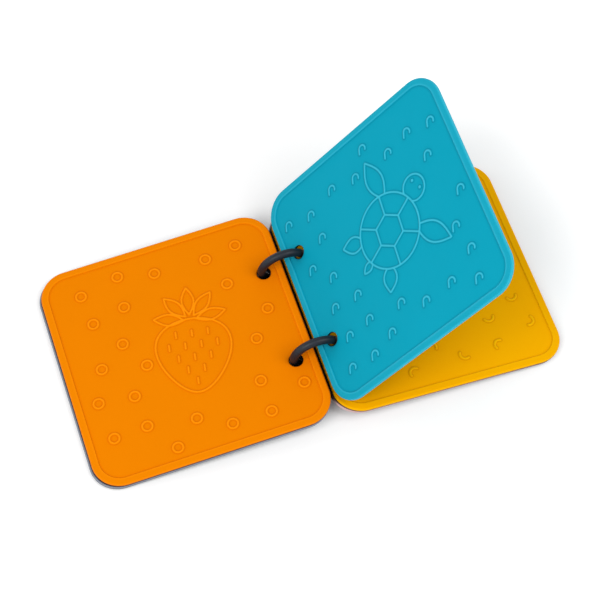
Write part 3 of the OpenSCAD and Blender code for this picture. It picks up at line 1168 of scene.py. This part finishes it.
class SkinAndPaintedShadeGroup:
    """Node group of the matt moulded skin that leaves and rings share.

    It paints highlight on crests and shade in hollows by the mesh's relief,
    paints shade in narrow crevices, on hole walls and along edges that lie close
    over the next leaf, paints bounce light by making colours richer where
    neighbouring surfaces stand close, varies the value a little over a hand's
    breadth, and gives the fine grain of a blasted mould. Reaches are in metres,
    scales per metre.
    """

    NAME = "moulded skin and painted shade"
    # Painted shade in narrow crevices, at three reaches.
    PAINTED_CREVICE_SHADES = (
        PaintedCreviceShade(0.02, 0.15, 0.55, 0.5), PaintedCreviceShade(0.007, 0.38, 0.84, 0.04),
        PaintedCreviceShade(0.002, 0.4, 0.9, 0.08),
    )
    # Painted bounce light: reach and strength of the richer colour where surfaces stand close.
    PAINTED_BOUNCE_REACH = 0.07
    PAINTED_BOUNCE_RICHNESS = 0.35
    # Relief value at the darkest painted shade, and the share of value left there.
    PAINTED_SHADE_DEEPEST = -2.0
    PAINTED_SHADE_DEEPEST_VALUE = 0.06
    CLOUD_SCALE = 34.0
    SMEAR_SCALE = 90.0
    SPECK = 0.06
    WEAR = 0.18
    SMEAR_HEIGHT = 0.6
    CREST_POLISH = -0.05
    SAMPLES = 8
    SOCKETS = (
        ("Body", "Color"), ("Painted Crest Highlight", "Color"), ("Painted Hollow Shade", "Color"), ("Relief", "Float"),
        ("Mottle", "Float"), ("Roughness", "Float"), ("Grain Scale", "Float"),
    )
    RESULTS = (("Colour", "Color"), ("Roughness", "Float"), ("Height", "Float"))

    def build(self) -> bpy.types.NodeTree:
        """Builds the group once and returns it."""
        tree = bpy.data.node_groups.new(self.NAME, "ShaderNodeTree")
        pen = NodePen(tree)
        for way, sockets in (("INPUT", self.SOCKETS), ("OUTPUT", self.RESULTS)):
            for name, kind in sockets:
                tree.interface.new_socket(name, in_out=way, socket_type="NodeSocket" + kind)
        given = pen.add("NodeGroupInput").outputs
        place = pen.add("ShaderNodeTexCoord").outputs["Object"]
        cloud = pen.noise(place, self.CLOUD_SCALE, detail=2.0)
        smear = pen.noise(place, self.SMEAR_SCALE, detail=3.0)
        grain = pen.noise(place, given["Grain Scale"], detail=3.0, roughness=0.6)
        # Painted highlight on crests and painted shade in hollows, led by the relief attribute.
        crest = pen.math("MAXIMUM", given["Relief"], 0.0, clamp=True)
        hollow = pen.math("MULTIPLY", given["Relief"], -1.0, clamp=True)
        painted_relief_colour = pen.mix(crest, given["Body"], given["Painted Crest Highlight"])
        painted_relief_colour = pen.mix(hollow, painted_relief_colour, given["Painted Hollow Shade"])
        shift = pen.math("SUBTRACT", cloud, 0.5)
        value = pen.math("MULTIPLY_ADD", shift, given["Mottle"], 1.0)
        grit = pen.math("SUBTRACT", grain, 0.5)
        speck = pen.math("MULTIPLY_ADD", grit, self.SPECK, value)
        # Darkest painted shade below a relief of -1: hole walls and edges that lie close over the
        # next leaf.
        seam_with_painted_shade = {
            "Value": given["Relief"], "From Min": self.PAINTED_SHADE_DEEPEST, "From Max": self.PAINTED_SHADE_DEEPEST / 2,
            "To Min": self.PAINTED_SHADE_DEEPEST_VALUE,
        }
        shade = pen.add("ShaderNodeMapRange", seam_with_painted_shade).outputs["Result"]
        # Painted shade: darkens the value where ambient occlusion finds close surfaces.
        for crevice_shade in self.PAINTED_CREVICE_SHADES:
            limits = {
                "Value": pen.openness(crevice_shade.reach, self.SAMPLES), "From Min": crevice_shade.closed,
                "From Max": crevice_shade.free, "To Min": crevice_shade.darkest,
            }
            depth = pen.add("ShaderNodeMapRange", limits, interpolation_type="SMOOTHSTEP")
            shade = pen.math("MULTIPLY", shade, depth.outputs["Result"])
        # Painted bounce light: colours grow richer where neighbouring surfaces stand close.
        air = pen.openness(self.PAINTED_BOUNCE_REACH, self.SAMPLES)
        power = pen.math("MULTIPLY_ADD", air, -self.PAINTED_BOUNCE_RICHNESS, 1 + self.PAINTED_BOUNCE_RICHNESS)
        painted_bounce_colour = pen.add("ShaderNodeGamma", {"Color": painted_relief_colour, "Gamma": power}).outputs["Color"]
        lit = pen.math("MULTIPLY", speck, shade)
        colour = pen.add("ShaderNodeHueSaturation", {"Value": lit, "Color": painted_bounce_colour}).outputs["Color"]
        worn = pen.math("SUBTRACT", smear, 0.5)
        rough = pen.math("MULTIPLY_ADD", worn, self.WEAR, given["Roughness"])
        rough = pen.math("MULTIPLY_ADD", crest, self.CREST_POLISH, rough, clamp=True)
        height = pen.math("MULTIPLY_ADD", smear, self.SMEAR_HEIGHT, grain)
        pen.add("NodeGroupOutput", {"Colour": colour, "Roughness": rough, "Height": height})
        return tree


@dataclass(frozen=True)
class SiliconeFinish:
    """Finish of one silicone colour.

    Attributes:
        slot: The record's material slot.
        body: Screen colour of the broad surface.
        crest: Screen colour of the painted highlight on crests and edges.
        hollow: Screen colour of the painted shade in hollows.
        roughness: Roughness of the broad surface.
        specular: Level of the surface's gloss.
        gloss: Screen colour of the gloss.
        mottle: How much the colour's value varies.
        grain_scale: Fineness of the grain, per metre.
        grain_depth: Height of the grain in metres.
    """

    slot: str
    body: tuple[int, int, int]
    crest: tuple[int, int, int]
    hollow: tuple[int, int, int]
    roughness: float = 0.56
    specular: float = 0.2
    gloss: tuple[int, int, int] = (255, 255, 255)
    mottle: float = 0.05
    grain_scale: float = 2600
    grain_depth: float = 0.00003

    def build(self, skin: bpy.types.NodeTree) -> bpy.types.Material:
        """Builds the material.

        Args:
            skin: The node group of the moulded skin.

        Returns:
            The material.
        """
        material = bpy.data.materials.new("moulded_" + self.slot)
        material.use_nodes = True
        pen = NodePen(material.node_tree)
        relief = pen.add("ShaderNodeAttribute", attribute_name="relief", attribute_type="GEOMETRY")
        group = pen.add("ShaderNodeGroup", node_tree=skin)
        values = {
            "Body": linear(self.body), "Painted Crest Highlight": linear(self.crest), "Painted Hollow Shade": linear(self.hollow),
            "Mottle": self.mottle, "Roughness": self.roughness, "Grain Scale": self.grain_scale,
        }
        for name, value in values.items():
            group.inputs[name].default_value = value
        material.node_tree.links.new(relief.outputs["Fac"], group.inputs["Relief"])
        bump = pen.add(
            "ShaderNodeBump",
            {"Height": group.outputs["Height"], "Distance": self.grain_depth, "Strength": 1.0},
        )
        surface = pen.add(
            "ShaderNodeBsdfPrincipled",
            {
                "Base Color": group.outputs["Colour"], "Roughness": group.outputs["Roughness"],
                "Normal": bump.outputs["Normal"], "IOR": 1.43, "Specular IOR Level": self.specular,
                "Specular Tint": linear(self.gloss),
            },
        )
        pen.add("ShaderNodeOutputMaterial", {"Surface": surface.outputs["BSDF"]})
        return material


class Shelf:
    """Materials built so far, one for each finish."""

    def __init__(self) -> None:
        """Builds the shared node group and starts empty."""
        self.skin = SkinAndPaintedShadeGroup().build()
        self.materials: dict[str, bpy.types.Material] = {}

    def material(self, finish: SiliconeFinish) -> bpy.types.Material:
        """Returns the finish's material, built the first time it is asked for."""
        if finish.slot not in self.materials:
            self.materials[finish.slot] = finish.build(self.skin)
        return self.materials[finish.slot]

    def dress(
        self, obj: bpy.types.Object, node: str, body: str, finish: SiliconeFinish,
    ) -> bpy.types.Object:
        """Gives a piece its material and ties it to its body and its solid.

        Args:
            obj: The piece.
            node: The solid that it stands for.
            body: The body that it moves with.
            finish: Its finish.

        Returns:
            The piece.
        """
        obj.data.materials.append(self.material(finish))
        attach(obj, body)
        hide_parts(node)
        return obj


@dataclass(frozen=True)
class Ring:
    """One soft round ring through all leaves.

    Attributes:
        node: Name of its solid in the frame.
        body: Body that it moves with.
        finish: Its finish.
        around: Mesh segments along the ring.
        across: Mesh segments round the cord.
        parting_d: Depth of the mould's parting line in millimetres.
    """

    node: str
    body: str
    finish: SiliconeFinish
    around: int = 192
    across: int = 48
    parting_d: float = 0.04

    def build(self, shelf: Shelf) -> bpy.types.Object:
        """Builds the ring in the place and at the size of its solid.

        Args:
            shelf: The materials.

        Returns:
            The ring's object.
        """
        low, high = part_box(self.node)
        cord_r = (high.y - low.y) / 2
        middle = (low + high) / 2
        ring_r = (high.x - low.x) / 2 - cord_r
        theta = np.linspace(0, 2 * math.pi, self.around, endpoint=False)[:, None]
        phi = np.linspace(0, 2 * math.pi, self.across, endpoint=False)[None, :]
        parting = (np.abs(np.sin(phi)) < FINE_TURN).astype(float) + 0 * theta
        cord = cord_r - self.parting_d * MM * parting
        reach = ring_r + cord * np.cos(phi)
        about = [reach * np.cos(theta), cord * np.sin(phi), reach * np.sin(theta)]
        points = np.stack(about, axis=2).reshape(-1, 3) + np.array(middle)
        number = np.arange(self.around * self.across).reshape(self.around, self.across)
        ahead, beside = np.roll(number, -1, axis=0), np.roll(number, -1, axis=1)
        both = np.roll(ahead, -1, axis=1)
        quads = np.stack([number, beside, both, ahead], axis=2).reshape(-1, 4)
        # Painted shade in the groove of the mould's parting line.
        shade = np.where(parting.reshape(-1) > 0, -0.8, 0.0)
        ring = make_mesh(self.node + "_cord", points, [tuple(q) for q in quads.tolist()], shade)
        return shelf.dress(ring, self.node, self.body, self.finish)


@dataclass(frozen=True)
class Leaf:
    """One moulded leaf.

    Attributes:
        node: Name of its solid in the frame.
        body: Body that it moves with.
        finish: Its finish.
        drawings: Ridges of its faces.
        seam_with_painted_shade: The face whose half of the edge lies close over the next leaf and
            gets painted shade.
        form: Cross-section sizes.
    """

    node: str
    body: str
    finish: SiliconeFinish
    drawings: dict[Side, Relief] = field(default_factory=dict)
    seam_with_painted_shade: Side | None = None
    form: LeafForm = LeafForm()

    def build(
        self, node: bpy.types.Object, axis: Sequence[float], shelf: Shelf,
    ) -> bpy.types.Object:
        """Builds the leaf in the place of its solid.

        Args:
            node: The leaf's solid.
            axis: A point on the hinge line.
            shelf: The materials.

        Returns:
            The leaf's object.
        """
        place = LeafPlace.measured(node, axis)
        leaf = LeafMesh(place, self.form, self.drawings, self.seam_with_painted_shade).build(self.node + "_skin")
        return shelf.dress(leaf, self.node, self.body, self.finish)


@dataclass(frozen=True)
class Book:
    """The whole bath book: leaves from the front cover to the back cover, and the rings."""

    sizes: PageSizes = PageSizes()
    # Each finish gives its body colour, then the painted highlight colour and the painted shade
    # colour.
    grey: SiliconeFinish = SiliconeFinish(
        "grey_silicone", (144, 148, 160), (156, 160, 172), (116, 118, 132),
    )
    orange: SiliconeFinish = SiliconeFinish(
        "orange_silicone", (239, 131, 0), (254, 147, 10), (226, 114, 0), gloss=(255, 150, 20),
    )
    teal: SiliconeFinish = SiliconeFinish(
        "teal_silicone", (5, 162, 189), (62, 190, 215), (0, 136, 163), gloss=(110, 225, 255),
    )
    yellow: SiliconeFinish = SiliconeFinish(
        "yellow_silicone", (255, 179, 0), (255, 192, 6), (228, 152, 0), gloss=(255, 200, 30),
    )
    blush: SiliconeFinish = SiliconeFinish(
        "blush_silicone", (220, 186, 188), (228, 198, 198), (194, 156, 162),
    )
    charcoal: SiliconeFinish = SiliconeFinish(
        "charcoal_silicone", (28, 35, 45), (48, 56, 68), (16, 20, 27),
        roughness=0.44, specular=0.34, mottle=0.12,
    )

    def leaves(self) -> list[Leaf]:
        """Returns the five leaves with their drawings."""
        berry = {Side.LOWER: Relief(StrawberryPage(self.sizes).strokes())}
        turtle = {Side.UPPER: Relief(TurtlePage(self.sizes).strokes())}
        flower = {Side.UPPER: Relief(FlowerPage(self.sizes).strokes())}
        return [
            Leaf("front_cover_leaf", "front_cover", self.grey),
            Leaf("orange_leaf", "orange_page", self.orange, berry, Side.UPPER),
            Leaf("teal_leaf", "teal_page", self.teal, turtle),
            Leaf("yellow_leaf", "yellow_page", self.yellow, flower, Side.LOWER),
            Leaf("back_cover_leaf", "back_cover", self.blush),
        ]

    def rings(self) -> list[Ring]:
        """Returns the two rings."""
        return [Ring(name, "back_cover", self.charcoal) for name in ("far_ring", "near_ring")]

    def build(self, frame: dict[str, Any]) -> None:
        """Builds every piece in order and reports it.
        """
        axis = frame["joints"][0]["pos_m"]
        shelf = Shelf()
        for leaf in self.leaves():
            piece = leaf.build(frame["nodes"][leaf.node], axis, shelf)
            LOG.info("%s on %s: %d faces", piece.name, leaf.body, len(piece.data.polygons))
        for ring in self.rings():
            piece = ring.build(shelf)
            LOG.info("%s on %s: %d faces", piece.name, ring.body, len(piece.data.polygons))


@dataclass(frozen=True)
class PhotoCamera:
    """Camera at the photograph's viewing angle.

    Attributes:
        lens_mm: Focal length on a 36 mm wide sensor.
        heading: Degrees that it looks to the right of the spine.
        down: Degrees that it looks below level.
        roll: Degrees that it leans.
        at: Its place in metres.
    """

    lens_mm: float = 110.384
    heading: float = 21.437
    down: float = 62.109
    roll: float = 3.198
    at: tuple[float, float, float] = (-0.15398, -0.39248, 0.81977)

    def build(self) -> bpy.types.Object:
        """Builds the camera and makes it the scene's own."""
        h, d, r = (math.radians(v) for v in (self.heading, self.down, self.roll))
        ahead = Vector((math.sin(h) * math.cos(d), math.cos(h) * math.cos(d), -math.sin(d)))
        level = Vector((math.cos(h), -math.sin(h), 0))
        above = level.cross(ahead)
        right = math.cos(r) * level + math.sin(r) * above
        up = -math.sin(r) * level + math.cos(r) * above
        data = bpy.data.cameras.new("photo_camera")
        data.sensor_width = 36
        data.lens = self.lens_mm
        data.clip_start = 0.01
        camera = place_object("photo_camera", data)
        rotation = Matrix((right, up, -ahead)).transposed()
        camera.matrix_world = Matrix.Translation(self.at) @ rotation.to_4x4()
        bpy.context.scene.camera = camera
        return camera


@dataclass(frozen=True)
class SoftLamp:
    """Large soft lamp that looks at the book.

    Attributes:
        name: Its name.
        at: Its place in metres.
        size: Its width in metres.
        level: Light that it gives a surface that faces it, where 1 shows a colour as it is.
    """

    name: str
    at: tuple[float, float, float]
    size: float
    level: float

    def build(self) -> bpy.types.Object:
        """Builds the lamp."""
        data = bpy.data.lights.new(self.name, "AREA")
        data.shape = "DISK"
        data.size = self.size
        place = Vector(self.at)
        data.energy = self.level * math.pi**2 * place.length_squared
        lamp = place_object(self.name, data)
        lamp.location = place
        lamp.rotation_euler = (-place).to_track_quat("-Z", "Y").to_euler()
        return lamp


@dataclass(frozen=True)
class Studio:
    """Plain pale floor and soft light.

    Attributes:
        floor_size: Width of the floor in metres.
        floor_grey: Lightness of the floor under plain light.
        floor_lift: What the camera sees on top of that beside the book.
        lift_near: Distance from the origin at which the lift starts to rise.
        lift_far: Distance from which the lift is full and the floor white.
        gap_reach: How far the book counts where the lift fades in gaps, a painted shade on the
            floor under the book.
        world_level: Light from all round.
        lamps: The soft lamps.
    """

    floor_size: float = 6
    floor_grey: float = 0.86
    floor_lift: float = 0.185
    lift_near: float = 0.09
    lift_far: float = 0.32
    gap_reach: float = 0.03
    world_level: float = 0.42
    lamps: tuple[SoftLamp, ...] = (
        SoftLamp("key_lamp", (-0.75, -0.42, 1.0), 0.8, 0.43),
        SoftLamp("left_lamp", (-1.2, 0.5, 0.6), 0.7, 0.1),
        SoftLamp("right_lamp", (0.65, -0.4, 1.1), 0.8, 0.36),
    )

    def seen_directly(self, pen: NodePen) -> bpy.types.NodeSocket:
        """Returns 1 for rays from the camera, from gloss and through glass."""
        path = pen.add("ShaderNodeLightPath").outputs
        seen = pen.math("ADD", path["Is Camera Ray"], path["Is Glossy Ray"])
        return pen.math("ADD", seen, path["Is Transmission Ray"], clamp=True)

    def build_floor(self) -> bpy.types.Object:
        """Builds the floor, lifted to white for the camera with painted shade in gaps under the
        book, and seen through from below.
        """
        half = self.floor_size / 2
        corners = [(-half, -half, 0), (half, -half, 0), (half, half, 0), (-half, half, 0)]
        mesh = bpy.data.meshes.new("floor")
        mesh.from_pydata(corners, [], [(0, 1, 2, 3)])
        floor = place_object("floor", mesh)
        material = bpy.data.materials.new("pale_floor")
        material.use_nodes = True
        pen = NodePen(material.node_tree)
        grey = (self.floor_grey, self.floor_grey, self.floor_grey, 1)
        matt = pen.add("ShaderNodeBsdfDiffuse", {"Color": grey})
        place = pen.add("ShaderNodeTexCoord").outputs["Object"]
        away = pen.add("ShaderNodeVectorMath", {0: place}, operation="LENGTH").outputs["Value"]
        rise = {
            "Value": away, "From Min": self.lift_near, "From Max": self.lift_far,
            "To Min": self.floor_lift,
        }
        lift = pen.add("ShaderNodeMapRange", rise, interpolation_type="SMOOTHSTEP")
        # Painted shade on the floor: the lift fades where the book closes in above it.
        gaps = {"Value": pen.openness(self.gap_reach, 8), "From Min": 0.1, "From Max": 0.5}
        gap_painted_shade = pen.add("ShaderNodeMapRange", gaps)
        strength = pen.math("MULTIPLY", self.seen_directly(pen), lift.outputs["Result"])
        strength = pen.math("MULTIPLY", strength, gap_painted_shade.outputs["Result"])
        glow = pen.add("ShaderNodeEmission", {"Strength": strength})
        both = pen.add("ShaderNodeAddShader", {0: matt.outputs[0], 1: glow.outputs[0]})
        below = pen.add("ShaderNodeNewGeometry").outputs["Backfacing"]
        clear = pen.add("ShaderNodeBsdfTransparent")
        seen = pen.add("ShaderNodeMixShader", {0: below, 1: both.outputs[0], 2: clear.outputs[0]})
        pen.add("ShaderNodeOutputMaterial", {"Surface": seen.outputs[0]})
        mesh.materials.append(material)
        return floor

    def build_world(self) -> None:
        """Builds the even light from all round, which the camera sees as white."""
        world = bpy.data.worlds.new("studio")
        world.use_nodes = True
        pen = NodePen(world.node_tree)
        share = self.seen_directly(pen)
        strength = pen.math("MULTIPLY_ADD", share, 1 - self.world_level, self.world_level)
        light = pen.add("ShaderNodeBackground", {"Color": (1, 1, 1, 1), "Strength": strength})
        pen.add("ShaderNodeOutputWorld", {"Surface": light.outputs[0]})
        bpy.context.scene.world = world

    def build(self) -> None:
        """Builds the floor, the world and the lamps."""
        self.build_floor()
        self.build_world()
        for lamp in self.lamps:
            lamp.build()
            LOG.info("%s at level %.2f", lamp.name, lamp.level)


def main(frame: dict[str, Any]) -> None:
    """Builds the book, the camera and the studio.
    """
    PhotoCamera().build()
    Book().build(frame)
    Studio().build()
    bpy.context.scene.view_settings.view_transform = "Standard"


if __name__ == "__main__":
    logging.basicConfig(level=logging.INFO, format="%(name)s: %(message)s")
    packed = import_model()
    main(packed)
